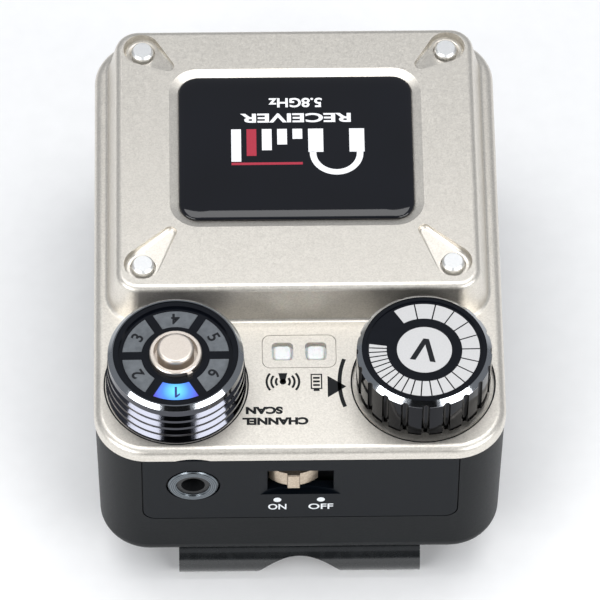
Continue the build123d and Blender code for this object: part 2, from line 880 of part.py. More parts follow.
# ---- volume knob ------------------------------------------------------------------------
def knob_skirt():
    low = deck + knob_clearance
    top = deck + knob_top
    body = rod(knob_radius, low, top)
    body = chamfer(body.faces().sort_by(Axis.Z)[-1].edges(), knob_bevel)
    reach = knob_radius - knob_groove_depth + knob_groove_radius
    end = top - knob_groove_top
    groove = rod(knob_groove_radius, low - beyond, end - knob_groove_radius, (reach, 0))
    groove += Pos(reach, 0, end - knob_groove_radius) * Sphere(knob_groove_radius)
    for cut in ring_of(groove, knob_groove_count):
        body -= cut
    seat = top - disc_drop - disc_thickness
    body -= rod(knob_cavity, low - beyond, top - knob_roof)
    body += rod(hub_radius, low, top - knob_roof + overlap)
    body -= rod(hub_radius + beyond, low - beyond, deck + bushing_height + knob_hub_clearance)
    body -= rod(disc_radius + disc_gap, seat, top + beyond)
    body -= pot_shaft_shape(0, low - beyond, seat - shaft_roof)
    return Pos(knob_at[0], knob_at[1], 0) * body


def knob_disc():
    top = deck + knob_top - disc_drop
    disc = rod(disc_radius, top - disc_thickness, top, knob_at)
    return disc - rod(disc_radius - disc_rim, top - disc_step, top + beyond, knob_at)


def pot_shaft_shape(gap, low, high):
    """D-shaped end of the pot's shaft."""
    flat = pot_shaft_radius - pot_shaft_flat
    reach = 2 * pot_shaft_radius
    return rod(pot_shaft_radius - gap, low, high) - block(-reach, reach, flat, reach, low, high)


def pot_shaft():
    bushing_top = deck + bushing_height
    high = deck + knob_top - disc_drop - disc_thickness - shaft_roof
    low = deck - deck_wall - pot_height + pot_floor
    shaft = rod(pot_shaft_radius, low, bushing_top + overlap)
    shaft += pot_shaft_shape(0, bushing_top, high)
    return Pos(knob_at[0], knob_at[1], 0) * shaft


def volume_pot():
    top = deck - deck_wall
    x, y = knob_at
    body = block(x - pot_width / 2, x + pot_width / 2, y - pot_length / 2, y + pot_length / 2,
                 top - pot_height, top)
    body += rod(bushing_radius, top - overlap, deck + bushing_height, knob_at)
    bore = pot_shaft_radius + shaft_gap
    bore_end = top - pot_height + pot_floor - shaft_gap
    return body - rod(bore, bore_end, deck + bushing_height + beyond, knob_at)


def pot_nut():
    low = deck - dish_depth
    apothem = bushing_radius + pot_nut_wall
    outline = Pos(knob_at[0], knob_at[1], low) * RegularPolygon(apothem, 6, major_radius=False)
    bore = rod(bushing_radius, low - beyond, low + pot_nut_height + beyond, knob_at)
    return extrude(outline, pot_nut_height) - bore


def pot_legs():
    legs = []
    top = deck - deck_wall - pot_height
    for i in (-1, 0, 1):
        x = knob_at[0] + i * pot_leg_pitch
        y = knob_at[1] + pot_length / 2 - pot_leg_inset
        legs.append(block(x - pot_leg / 2, x + pot_leg / 2, y - pot_leg_sheet / 2,
                          y + pot_leg_sheet / 2, board_top, top))
    return legs


# ---- headphone jack ---------------------------------------------------------------------
def headphone_jack():
    mouth = face_y(jack_z) + jack_stand
    inner = panel_inner_y + jack_nut_bevel
    half_x = jack_body_width / 2
    half_z = jack_body_height / 2
    rear_end = mouth + jack_depth + jack_end_wall
    body = block(jack_x - half_x, jack_x + half_x, inner, rear_end, jack_z - half_z, jack_z + half_z)
    body += front_rod(jack_bushing, mouth, inner + overlap, jack_x, jack_z)
    body -= front_rod(jack_bore, mouth - beyond, mouth + jack_depth, jack_x, jack_z)
    for contact_y in contact_places():
        body -= contact_box(contact_y, contact_gap)
    return body


def contact_places():
    return [face_y(jack_z) + depth for depth in contact_depths]


def contact_box(y, gap):
    """Upright blade contact beside the bore, down to the board."""
    x = jack_x + jack_bore + contact_clearance
    half = contact_width / 2 + gap
    return block(x - gap, x + contact_thickness + gap, y - half, y + half,
                 board_top, jack_z + contact_rise + gap)


def jack_contacts():
    return [contact_box(y, 0) for y in contact_places()]


def jack_nut():
    inner = face_y(jack_z) + jack_nut_recess
    nut = front_rod(jack_nut_radius, inner - jack_nut_thickness, inner, jack_x, jack_z)
    nut = chamfer(nut.faces().sort_by(Axis.Y)[0].edges(), jack_nut_bevel)
    nut -= front_rod(jack_bushing + jack_nut_play, front - beyond, inner + beyond, jack_x, jack_z)
    inner_edge = nut.faces().sort_by(Axis.Y)[0].inner_wires()[0].edges()
    return chamfer(inner_edge, jack_nut_mouth_bevel)


# ---- power switch -----------------------------------------------------------------------
def power_slider():
    """Curved thumb piece; at rest it stands at its ON end, to the left."""
    x = -slider_travel / 2
    face = face_y(switch_z)
    slab_front = face + slider_back
    half_z = slider_height / 2
    low = switch_z - half_z
    high = switch_z + half_z
    arc = rod(slider_arc, low, high, (x, slab_front + slider_arc))
    half = slider_width / 2
    piece = arc & block(x - half, x + half, slab_front - beyond, slab_front + slider_depth, low, high)
    nub = block(x - nub_width / 2, x + nub_width / 2, face, slab_front + beyond,
                low - nub_extra, high + nub_extra)
    nub = fillet(nub.faces().sort_by(Axis.Y)[0].edges(), nub_round)
    piece += nub
    return piece + slider_neck(slab_front + beyond)


def slider_neck(y0):
    """Square neck that joins the thumb piece to the switch's actuator."""
    x = -slider_travel / 2
    half = neck_width / 2
    y1 = switch_front() + neck_reach
    return block(x - half, x + half, y0, y1, switch_z - half, switch_z + half)


def switch_front():
    """Front of the switch's frame, clear of the slab's back."""
    return face_y(switch_z) + slider_back + slider_depth + slider_clearance


def power_switch():
    y0 = switch_front()
    y1 = y0 + switch_body_depth
    half = switch_body_length / 2
    top = switch_z + (switch_z - board_top)
    frame = block(-half, half, y0, y1, board_top, top)
    w = switch_body_wall
    frame -= block(-half + w, half - w, y0 + w, y1 - w, board_top + w, top - w)
    reach = slider_travel / 2 + actuator_width / 2
    half_z = neck_width / 2 + neck_gap
    return frame - block(-reach, reach, y0 - beyond, y0 + beyond, switch_z - half_z, switch_z + half_z)


def switch_actuator():
    x = -slider_travel / 2
    y0 = switch_front() + switch_body_wall + neck_gap
    half = actuator_width / 2
    half_z = actuator_height / 2
    body = block(x - half, x + half, y0, y0 + actuator_depth, switch_z - half_z, switch_z + half_z)
    return body - slider_neck(y0 - beyond)


# ---- main board -------------------------------------------------------------------------
def main_board():
    y0 = front + board_front
    y1 = rear - board_rear
    board = slab(board_width, y1 - y0, board_corner, board_bottom, board_top, (0, (y0 + y1) / 2))
    tab_end = side_x(usb_z) - wall
    half = usb_tab_width / 2
    board += block(0, tab_end - board_gap, usb_y - half, usb_y + half, board_bottom, board_top)
    for at in board_places():
        board -= rod(board_screw_radius + screw_gap, board_bottom - beyond, board_top + beyond, at)
    return board


def board_screws():
    return [
        rod(board_screw_radius, board_bottom - board_screw_length, board_top + overlap, at)
        + rod(board_screw_head, board_top, board_top + board_screw_head_height, at)
        for at in board_places()
    ]


def usb_shell():
    x1 = side_x(usb_z) - usb_drop
    x0 = x1 - usb_length
    outline = Plane.YZ * Pos(usb_y, usb_z) * SlotOverall(usb_width, usb_height)
    inner = Plane.YZ * Pos(usb_y, usb_z) * SlotOverall(usb_width - 2 * usb_wall, usb_height - 2 * usb_wall)
    shell = Pos(x0, 0, 0) * extrude(outline, usb_length)
    return shell - Pos(x0 + usb_back_wall, 0, 0) * extrude(inner, usb_length)


def usb_blade():
    x1 = side_x(usb_z) - usb_tongue_drop
    x0 = side_x(usb_z) - usb_drop - usb_length + usb_back_wall
    half = usb_tongue_width / 2
    return block(x0, x1, usb_y - half, usb_y + half, usb_z - usb_tongue / 2, usb_z + usb_tongue / 2)


def rf_shield():
    half = shield_size / 2
    x, y = shield_at
    top = board_top + shield_height
    can = block(x - half, x + half, y - half, y + half, board_top, top)
    can = fillet(can.edges().filter_by(Axis.Z), shield_corner)
    inner = half - shield_wall
    return can - block(x - inner, x + inner, y - inner, y + inner, board_top, top - shield_wall)


def board_chips():
    """Radio chip under the shield, sound chip and charger chip."""
    chips = []
    for at, size in ((shield_at, radio_chip), (sound_chip_at, sound_chip), (charger_at, charger_chip)):
        half = size / 2
        chips.append(block(at[0] - half, at[0] + half, at[1] - half, at[1] + half,
                           board_top, board_top + chip_height))
    return chips


def antennas():
    """Two bent strips of sheet along the board's rear edge, each on two legs."""
    strips = []
    y1 = rear - board_rear - antenna_inset
    y0 = y1 - antenna_sheet
    half = antenna_length / 2
    half_leg = antenna_leg / 2
    low = board_top + antenna_rise
    for side in (-1, 1):
        x = side * (board_width / 2 - antenna_length / 2 - antenna_inset)
        strip = block(x - half, x + half, y0, y1, low, low + antenna_height)
        for leg_x in (x - half + antenna_leg, x - half + antenna_leg + antenna_feed):
            strip += block(leg_x - half_leg, leg_x + half_leg, y0, y1, board_top, low + overlap)
        strips.append(strip)
    return strips


# ---- battery ----------------------------------------------------------------------------
def battery_cell():
    cell = slab(battery_width, battery_length, battery_corner, battery_bottom,
                battery_bottom + battery_height)
    return fillet(cell.faces().sort_by(Axis.Z)[-1].edges(), battery_edge)


def battery_pad():
    width = battery_width - 2 * battery_pad_inset
    length = battery_length - 2 * battery_pad_inset
    return slab(width, length, battery_edge, rail_top, battery_bottom)


def battery_plug():
    y = battery_length / 2 + plug_from_cell
    half = plug_width / 2
    return block(-half, half, y - plug_depth / 2, y + plug_depth / 2,
                 board_bottom - plug_height, board_bottom)


def battery_leads():
    y0 = battery_length / 2
    y1 = y0 + plug_from_cell
    z0 = battery_bottom + battery_height / 2
    z1 = board_bottom - plug_height
    bend = lead_bend * min(y1 - y0, z1 - z0)
    leads = []
    for side in (-1, 1):
        x = side * lead_spacing / 2
        path = FilletPolyline((x, y0, z0), (x, y1, z0), (x, y1, z1), radius=bend)
        section = Plane(origin=(x, y0, z0), z_dir=(0, 1, 0)) * Circle(lead_radius)
        leads.append(sweep(section, path=path))
    return leads


def case_screws():
    seat = post_top - case_screw_web
    return [
        rod(case_screw_head, seat - case_screw_head_height, seat, at)
        + rod(case_screw_radius - screw_play, seat - overlap, seat + case_screw_length, at)
        for at in corners(post_x, post_y)
    ]


# ---- belt clip --------------------------------------------------------------------------
def clip_leg():
    half = clip_width / 2
    y0 = bend_y + clip_split
    y1 = bend_y + clip_leg_length
    leg = block(-half, half, y0, y1, leg_bottom, leg_top)
    far = leg.edges().filter_by(Axis.Z).group_by(Axis.Y)[-1]
    leg = fillet(far, clip_tip_corner / 2)
    for y in clip_screw_y:
        leg -= rod(clip_screw_radius, leg_bottom - beyond, leg_top + beyond, (0, y))
        leg -= clip_screw_cone(y, 0)
    return leg


def clip_screw_cone(y, gap):
    depth = clip_sheet - fit_gap
    cone = Cone(clip_screw_head - gap, clip_screw_radius - gap, depth,
                align=(Align.CENTER, Align.CENTER, Align.MIN))
    return Pos(0, y, leg_bottom) * cone


def clip_screws():
    screws = []
    for y in clip_screw_y:
        screw = clip_screw_cone(y, clip_screw_play)
        radius = clip_screw_radius - clip_screw_play
        screw += rod(radius, leg_bottom + overlap, rail_top - clip_screw_end, (0, y))
        length, width, depth = clip_screw_slot
        for turn in (0, 90):
            slot = Pos(0, y, leg_bottom) * Rot(0, 0, turn) * Box(length, width, 2 * depth)
            screw -= slot
        screws.append(screw)
    return screws


def clip_profile():
    """Side view of the moving sheet: U bend, flat tongue and pinch ridge."""
    mid = clip_bend
    bend = Circle(clip_bend) - Circle(clip_bend - clip_sheet)
    bend = Pos(bend_y, mid) * bend
    reach = 4 * clip_bend
    bend &= Pos(bend_y, mid) * Rectangle(reach, reach, align=(Align.MAX, Align.CENTER))
    tip = rear - clip_tip_inset
    tongue = Pos(bend_y, 0) * Rectangle(tip - bend_y, clip_sheet, align=(Align.MIN, Align.MIN))
    outer = (ridge_half_width**2 + ridge_height**2) / (2 * ridge_height)
    centre = clip_sheet + ridge_height - outer
    at = Pos(tip - ridge_from_tip, centre)
    above = Rectangle(2 * case_length, 4 * outer, align=(Align.CENTER, Align.MIN))
    arch = at * Circle(outer) & above
    return bend + tongue + arch - at * Circle(outer - clip_sheet)


def clip_tongue():
    half = clip_width / 2
    sheet = Pos(-half, 0, 0) * extrude(Plane.YZ * clip_profile(), clip_width)
    tip = rear - clip_tip_inset
    narrow = clip_tip_width / 2
    start = tip - clip_taper_start
    outline = Polyline((-half, front - beyond), (half, front - beyond), (half, start), (narrow, tip),
                       (-narrow, tip), (-half, start), close=True)
    plan = make_face(outline)
    plan = fillet(plan.vertices().group_by(Axis.Y)[-1], clip_tip_corner)
    sheet &= extrude(plan, floor_z)
    arch = Plane.XZ.offset(-bend_y) * Ellipse(clip_hole, clip_arch_height)
    sheet -= extrude(arch, 2 * clip_bend)
    hole = rod(clip_hole, -beyond, clip_sheet + overlap, (0, bend_y - clip_hole_lead))
    return sheet - (hole & block(-half, half, bend_y - touch, rear, -beyond, clip_bend))


# ---- write every node -------------------------------------------------------------------
save("bottom_shell", bottom_shell())
save("front_panel", front_panel())
save("top_shell", top_shell())
save("badge_plate", badge_plate())
save("corner_studs", corner_studs())
save("indicator_bezel", indicator_bezel())
save("signal_light_pipe", light_pipe(lens_places()[0]))
save("battery_light_pipe", light_pipe(lens_places()[1]))
save("status_lamps", status_lamps())
save("channel_turret", channel_turret())
save("turret_face", turret_face())
for number, window in enumerate(channel_windows(), start=1):
    save(f"channel_window_{number}", window)
save("channel_board", channel_board())
save("channel_lamps", channel_lamps())
save("channel_pins", channel_pins())
save("scan_switch", scan_switch())
save("scan_plunger", scan_plunger())
save("button_collar", button_collar())
save("scan_button", scan_button())
save("knob_skirt", knob_skirt())
save("knob_disc", knob_disc())
save("pot_shaft", pot_shaft())
save("volume_pot", volume_pot())
save("pot_nut", pot_nut())
save("pot_legs", pot_legs())
save("headphone_jack", headphone_jack())
save("jack_contacts", jack_contacts())
save("jack_nut", jack_nut())
save("power_slider", power_slider())
save("power_switch", power_switch())
save("switch_actuator", switch_actuator())
save("main_board", main_board())
save("board_screws", board_screws())
save("usb_shell", usb_shell())
save("usb_blade", usb_blade())
save("rf_shield", rf_shield())
save("board_chips", board_chips())
save("antennas", antennas())
save("battery_cell", battery_cell())
save("battery_pad", battery_pad())
save("battery_plug", battery_plug())
save("battery_leads", battery_leads())
save("case_screws", case_screws())
save("clip_leg", clip_leg())
save("clip_screws", clip_screws())
save("clip_tongue", clip_tongue())
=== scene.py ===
from math import asin, cos, pi, radians, sin

import bmesh
import bpy
from mathutils import Matrix, Vector


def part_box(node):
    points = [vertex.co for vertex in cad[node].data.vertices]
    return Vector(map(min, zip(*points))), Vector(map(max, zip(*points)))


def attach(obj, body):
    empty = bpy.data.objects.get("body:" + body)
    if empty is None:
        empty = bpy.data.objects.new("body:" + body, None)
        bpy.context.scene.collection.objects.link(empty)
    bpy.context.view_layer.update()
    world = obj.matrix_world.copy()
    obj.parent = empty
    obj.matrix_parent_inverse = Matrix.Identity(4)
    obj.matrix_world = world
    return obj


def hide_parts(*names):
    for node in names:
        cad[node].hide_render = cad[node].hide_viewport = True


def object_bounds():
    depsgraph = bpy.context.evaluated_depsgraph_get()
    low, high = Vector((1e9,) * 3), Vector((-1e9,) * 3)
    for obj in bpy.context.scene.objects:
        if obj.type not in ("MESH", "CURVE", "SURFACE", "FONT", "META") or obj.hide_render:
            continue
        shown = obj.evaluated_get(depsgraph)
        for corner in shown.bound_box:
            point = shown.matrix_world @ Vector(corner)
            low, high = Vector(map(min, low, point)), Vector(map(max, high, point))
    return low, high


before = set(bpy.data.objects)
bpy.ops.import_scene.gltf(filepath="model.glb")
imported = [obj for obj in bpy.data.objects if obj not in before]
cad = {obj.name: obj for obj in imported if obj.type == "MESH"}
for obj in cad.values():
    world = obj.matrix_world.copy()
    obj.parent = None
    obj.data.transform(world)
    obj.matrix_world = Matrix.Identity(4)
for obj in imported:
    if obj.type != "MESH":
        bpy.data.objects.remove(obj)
cad_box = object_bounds()
mm = 0.001

# ---- camera -----------------------------------------------------------------------------
# A long lens in front of the control end and well above it, as the pack is looked down on
# when it hangs from a belt. The slight roll levels the front edge.
pack_low, pack_high = cad_box
camera = bpy.data.objects.new("camera", bpy.data.cameras.new("camera"))
bpy.context.scene.collection.objects.link(camera)
bpy.context.scene.camera = camera
camera.data.sensor_width = 36
camera.data.lens = 382
camera.data.clip_start = 0.01
camera_place = Vector((-13.3, -560.3, 832.8)) * mm
camera_target = Vector((0.4, -6.5, 30.0)) * mm
camera_roll = radians(0.62)
camera_turn = (camera_target - camera_place).to_track_quat("-Z", "Y").to_matrix().to_4x4()
camera.matrix_world = (
    Matrix.Translation(camera_place) @ camera_turn @ Matrix.Rotation(camera_roll, 4, "Z")
)
bpy.context.scene.view_settings.view_transform = "Standard"


# ---- floor and studio light -------------------------------------------------------------
# A white paper sweep under three softboxes: one overhead, which lights the silver lid, and
# one on each side in front, which draw the two white bands on the round controls. A black
# flag between the two front ones leaves those controls, and the lid's front edge, dark.
def linear(code):
    """An sRGB hex colour as linear RGBA."""
    shares = [int(code[i:i + 2], 16) / 255 for i in (1, 3, 5)]
    return [s / 12.92 if s <= 0.04045 else ((s + 0.055) / 1.055) ** 2.4 for s in shares] + [1]


def add(tree, kind, inputs=(), **settings):
    """One node with its settings; each input is a value or another node's output."""
    made = tree.nodes.new(kind)
    for name, value in settings.items():
        setattr(made, name, value)
    for socket, value in dict(inputs).items():
        if isinstance(value, bpy.types.NodeSocket):
            tree.links.new(value, made.inputs[socket])
        else:
            made.inputs[socket].default_value = value
    return made


def finish_for(name, **sockets):
    """A new material, its node tree and its surface shader with these sockets set."""
    made = bpy.data.materials.new(name)
    made.use_nodes = True
    shader = made.node_tree.nodes["Principled BSDF"]
    for socket, value in sockets.items():
        shader.inputs[socket.replace("_", " ")].default_value = value
    return made, made.node_tree, shader


def sheet_mesh(name, corners):
    mesh = bpy.data.meshes.new(name)
    mesh.from_pydata(corners, [], [range(len(corners))])
    made = bpy.data.objects.new(name, mesh)
    bpy.context.scene.collection.objects.link(made)
    return made


def softbox(name, azimuth, elevation, distance, width, height, radiance):
    """Azimuth 0 is in front of the control end and 90 is on the right."""
    light = bpy.data.lights.new(name, "AREA")
    light.shape = "RECTANGLE"
    light.size = width
    light.size_y = height
    light.energy = radiance * pi * width * height
    made = bpy.data.objects.new(name, light)
    bpy.context.scene.collection.objects.link(made)
    a, e = radians(azimuth), radians(elevation)
    out = Vector((sin(a) * cos(e), -cos(a) * cos(e), sin(e)))
    middle = (pack_low + pack_high) / 2
    made.matrix_world = (
        Matrix.Translation(middle + out * distance) @ out.to_track_quat("Z", "Y").to_matrix().to_4x4()
    )
    return made


paper, paper_tree, paper_shader = finish_for("white_paper_sweep", Roughness=0.9)
paper_fibre = add(paper_tree, "ShaderNodeTexNoise", {"Scale": 900.0, "Detail": 3.0})
paper_tone = add(paper_tree, "ShaderNodeMix", {
    0: paper_fibre.outputs["Fac"], 6: linear("#f4f4f4"), 7: linear("#fafafa")}, data_type="RGBA")
paper_tree.links.new(paper_tone.outputs[2], paper_shader.inputs["Base Color"])
floor_reach = 1.5
floor = sheet_mesh("paper_floor", [
    (-floor_reach, -floor_reach, pack_low.z), (floor_reach, -floor_reach, pack_low.z),
    (floor_reach, floor_reach, pack_low.z), (-floor_reach, floor_reach, pack_low.z)])
floor.data.materials.append(paper)

softbox("softbox_above", 180, 84, 0.5, 0.5, 0.3, 3.2)
softbox("softbox_left", -46, 29, 0.75, 0.56, 0.12, 12.5)
softbox("softbox_right", 46, 29, 0.75, 0.56, 0.12, 12.5)
felt, tree, shader = finish_for("black_felt_flag", Roughness=0.95)
nap = add(tree, "ShaderNodeTexNoise", {"Scale": 700.0, "Detail": 4.0})
nap_tone = add(tree, "ShaderNodeMix", {
    0: nap.outputs["Fac"], 6: linear("#060606"), 7: linear("#141414")}, data_type="RGBA")
tree.links.new(nap_tone.outputs[2], shader.inputs["Base Color"])
flag_half, flag_low, flag_high, flag_away = 0.24, 0.05, 0.55, -0.72
flag = sheet_mesh("black_flag", [
    (-flag_half, flag_away, flag_low), (flag_half, flag_away, flag_low),
    (flag_half, flag_away, flag_high), (-flag_half, flag_away, flag_high)])
flag.data.materials.append(felt)
flag.visible_camera = False  # it's seen only in reflections, and never hides the pack
studio = bpy.data.worlds.new("studio")
bpy.context.scene.world = studio
studio.use_nodes = True
studio.node_tree.nodes["Background"].inputs["Color"].default_value = linear("#d4d8de")
studio.node_tree.nodes["Background"].inputs["Strength"].default_value = 0.62


# ---- black shell ------------------------------------------------------------------------
# The tray that the boards and battery sit in: injection-moulded black ABS with a fine
# spark-eroded skin. The skin scatters light softly, so its edges show as grey lines.
def put_on(material, *names):
    """Every slot of these CAD nodes takes the material."""
    for name in names:
        mesh = cad[name].data
        for slot in range(len(mesh.materials)):
            mesh.materials[slot] = material


def own_place(tree):
    """The piece's own coordinates, in metres, which move with it."""
    return add(tree, "ShaderNodeTexCoord").outputs["Object"]


def skin(tree, shader, grain, depth, detail=2.0):
    """Fine bumps of a moulded, blasted or printed surface; grain and depth in metres."""
    rough = add(tree, "ShaderNodeTexNoise", {
        "Vector": own_place(tree), "Scale": 1 / grain, "Detail": detail, "Roughness": 0.6})
    bump = add(tree, "ShaderNodeBump", {
        "Height": rough.outputs["Fac"], "Distance": depth, "Strength": 1.0})
    tree.links.new(bump.outputs["Normal"], shader.inputs["Normal"])
    return rough.outputs["Fac"]


def vary(tree, shader, socket, mask, low, high):
    """A socket that runs between two values, or two colours, as the mask does."""
    if isinstance(low, float):
        spread = add(tree, "ShaderNodeMapRange", {"Value": mask, "To Min": low, "To Max": high})
        tree.links.new(spread.outputs["Result"], shader.inputs[socket])
        return
    spread = add(tree, "ShaderNodeMix", {0: mask, 6: linear(low), 7: linear(high)}, data_type="RGBA")
    tree.links.new(spread.outputs[2], shader.inputs[socket])


spark_grain = 0.35 * mm
abs_black, tree, shader = finish_for("moulded_black_abs", IOR=1.52, Specular_IOR_Level=0.13)
spark = skin(tree, shader, spark_grain, 0.012 * mm)
vary(tree, shader, "Roughness", spark, 0.38, 0.5)
flow = add(tree, "ShaderNodeTexNoise", {
    "Vector": own_place(tree), "Scale": 1 / (14 * mm), "Detail": 2.0})
vary(tree, shader, "Base Color", flow.outputs["Fac"], "#06090c", "#0d1114")
put_on(abs_black, "bottom_shell")

# ---- front panel ------------------------------------------------------------------------
# A separate plate of the same black ABS, polished a little finer, that drops into the
# shell's open front. Its two words and dots are white pad printing.
panel_black, tree, shader = finish_for("satin_black_abs", IOR=1.52, Specular_IOR_Level=0.1)
spark = skin(tree, shader, 0.25 * mm, 0.006 * mm)
vary(tree, shader, "Roughness", spark, 0.3, 0.4)
vary(tree, shader, "Base Color", spark, "#05090e", "#0a0f15")
put_on(panel_black, "front_panel")

print_rise = 0.02 * mm


def stamp(name, loops, material):
    """A thin closed print: each loop is an outline in metres on the XY plane."""
    shape = bmesh.new()
    for loop in loops:
        top = [shape.verts.new((x, y, print_rise)) for x, y in loop]
        low = [shape.verts.new((x, y, 0)) for x, y in loop]
        shape.faces.new(top)
        shape.faces.new(low[::-1])
        for i, corner in enumerate(top):
            shape.faces.new((low[i - 1], low[i], corner, top[i - 1]))
    bmesh.ops.recalc_face_normals(shape, faces=shape.faces)
    mesh = bpy.data.meshes.new(name)
    shape.to_mesh(mesh)
    shape.free()
    mesh.materials.append(material)
    made = bpy.data.objects.new(name, mesh)
    bpy.context.scene.collection.objects.link(made)
    return made


def arc(radius, start, end, steps=24, centre=(0, 0)):
    """Points along a circle, between two angles in degrees."""
    angles = [radians(start + (end - start) * i / steps) for i in range(steps + 1)]
    return [(centre[0] + radius * cos(a), centre[1] + radius * sin(a)) for a in angles]


def lettering(name, words, height, material, width=None, weight=0.0):
    """Printed words, their middle at the origin, fitted to a height and a width in metres."""
    line = bpy.data.curves.new(name, "FONT")
    line.body = words
    line.offset = weight
    line.extrude = 0.01
    writing = bpy.data.objects.new(name + "_curve", line)
    mesh = bpy.data.meshes.new_from_object(writing)
    bpy.data.objects.remove(writing)
    points = [v.co for v in mesh.vertices]
    low = Vector([min(p[i] for p in points) for i in range(3)])
    high = Vector([max(p[i] for p in points) for i in range(3)])
    tall = height / (high.y - low.y)
    wide = width / (high.x - low.x) if width else tall
    mesh.transform(
        Matrix.Diagonal((wide, tall, print_rise / (high.z - low.z), 1))
        @ Matrix.Translation((-(low.x + high.x) / 2, -(low.y + high.y) / 2, -low.z))
    )
    mesh.materials.clear()
    mesh.materials.append(material)
    mesh.name = name
    made = bpy.data.objects.new(name, mesh)
    bpy.context.scene.collection.objects.link(made)
    return made


white_ink, tree, shader = finish_for("white_pad_print", IOR=1.5)
cover = skin(tree, shader, 0.12 * mm, 0.003 * mm)
vary(tree, shader, "Base Color", cover, "#c9ced2", "#eef1f3")
vary(tree, shader, "Roughness", cover, 0.4, 0.6)

panel_low, panel_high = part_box("front_panel")
panel_draft = radians(0.8)
label_drop = 13.3 * mm  # parting line to the words' middle
dot_drop = 11.35 * mm
dot_radius = 0.6 * mm


def on_panel(x, drop):
    """Place on the panel's leaning face, below its top edge."""
    face = panel_low.y + drop * sin(panel_draft)
    lean = Matrix.Rotation(radians(90) + panel_draft, 4, "X")
    return Matrix.Translation((x, face, panel_high.z - drop)) @ lean


for word, x, width in (("ON", -3.49 * mm, 2.76 * mm), ("OFF", 3.1 * mm, 3.75 * mm)):
    label = lettering(f"label_{word.lower()}", word, 1.54 * mm, white_ink, width, 0.015)
    label.matrix_world = on_panel(x, label_drop)
    dot = stamp(f"dot_{word.lower()}", [arc(dot_radius, 0, 345, 23)], white_ink)
    dot.matrix_world = on_panel(x, dot_drop)
    for piece in (label, dot):
        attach(piece, "case")

# ---- headphone jack ---------------------------------------------------------------------
# A panel-mount 3.5 mm socket: black nylon body and bushing, held by a turned brass ring nut
# with a dark nickel plate, whose face still shows the lathe's rings.
jack_low, jack_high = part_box("jack_nut")
jack_axis = ((jack_low.x + jack_high.x) / 2, (jack_low.z + jack_high.z) / 2)
nylon, tree, shader = finish_for("black_nylon", IOR=1.53)
mould = skin(tree, shader, 0.3 * mm, 0.008 * mm)
vary(tree, shader, "Roughness", mould, 0.42, 0.58)
vary(tree, shader, "Base Color", mould, "#08090b", "#101214")
put_on(nylon, "headphone_jack", "power_switch", "switch_actuator")


def turned_rings(tree, shader, centre, axis, spacing, depth):
    """Rings left by a lathe tool round a centre; axis is the index of the turning axis."""
    place = add(tree, "ShaderNodeVectorMath", {0: own_place(tree), 1: centre}, operation="SUBTRACT")
    flat = [1.0, 1.0, 1.0]
    flat[axis] = 0.0
    across = add(tree, "ShaderNodeVectorMath", {
        0: place.outputs["Vector"], 1: flat}, operation="MULTIPLY")
    reach = add(tree, "ShaderNodeVectorMath", {0: across.outputs["Vector"]}, operation="LENGTH")
    turns = add(tree, "ShaderNodeMath", {
        0: reach.outputs["Value"], 1: 2 * pi / spacing}, operation="MULTIPLY")
    wave = add(tree, "ShaderNodeMath", {0: turns.outputs["Value"]}, operation="SINE")
    bump = add(tree, "ShaderNodeBump", {"Height": wave.outputs["Value"], "Distance": depth})
    tree.links.new(bump.outputs["Normal"], shader.inputs["Normal"])
    return wave.outputs["Value"]


dark_nickel, tree, shader = finish_for("turned_dark_nickel", Metallic=1.0)
rings = turned_rings(tree, shader, (jack_axis[0], 0, jack_axis[1]), 1, 0.3 * mm, 0.004 * mm)
vary(tree, shader, "Roughness", rings, 0.24, 0.34)
vary(tree, shader, "Base Color", rings, "#565c61", "#7c8287")
put_on(dark_nickel, "jack_nut")

# ---- power switch -----------------------------------------------------------------------
# A slide switch behind the panel. Its thumb piece is moulded ABS in the same champagne
# metallic paint as the push button, worn no shinier than satin.
flake_size = 0.2 * mm


def metal_paint(name, dark, light, roughness, flake_depth):
    """Metallic paint: tiny flat flakes, each at its own tilt, under a thin clear coat."""
    made, tree, shader = finish_for(
        name, Metallic=0.92, Coat_Weight=0.12, Coat_Roughness=0.3, IOR=1.5)
    place = own_place(tree)
    flake = add(tree, "ShaderNodeTexVoronoi", {"Vector": place, "Scale": 1 / flake_size})
    cloud = add(tree, "ShaderNodeTexNoise", {
        "Vector": place, "Scale": 1 / (0.3 * mm), "Detail": 3.0, "Roughness": 0.7})
    each = add(tree, "ShaderNodeSeparateColor", {"Color": flake.outputs["Color"]})
    tone = add(tree, "ShaderNodeMix", {
        0: 0.55, 2: each.outputs["Red"], 3: cloud.outputs["Fac"]}, data_type="FLOAT")
    vary(tree, shader, "Base Color", tone.outputs[0], dark, light)
    vary(tree, shader, "Roughness", each.outputs["Green"], roughness - 0.05, roughness + 0.07)
    bump = add(tree, "ShaderNodeBump", {"Height": cloud.outputs["Fac"], "Distance": flake_depth})
    tree.links.new(bump.outputs["Normal"], shader.inputs["Normal"])
    return made


champagne = metal_paint("champagne_metallic_paint", "#a9977f", "#d9cbb9", 0.33, 0.012 * mm)
put_on(champagne, "power_slider")

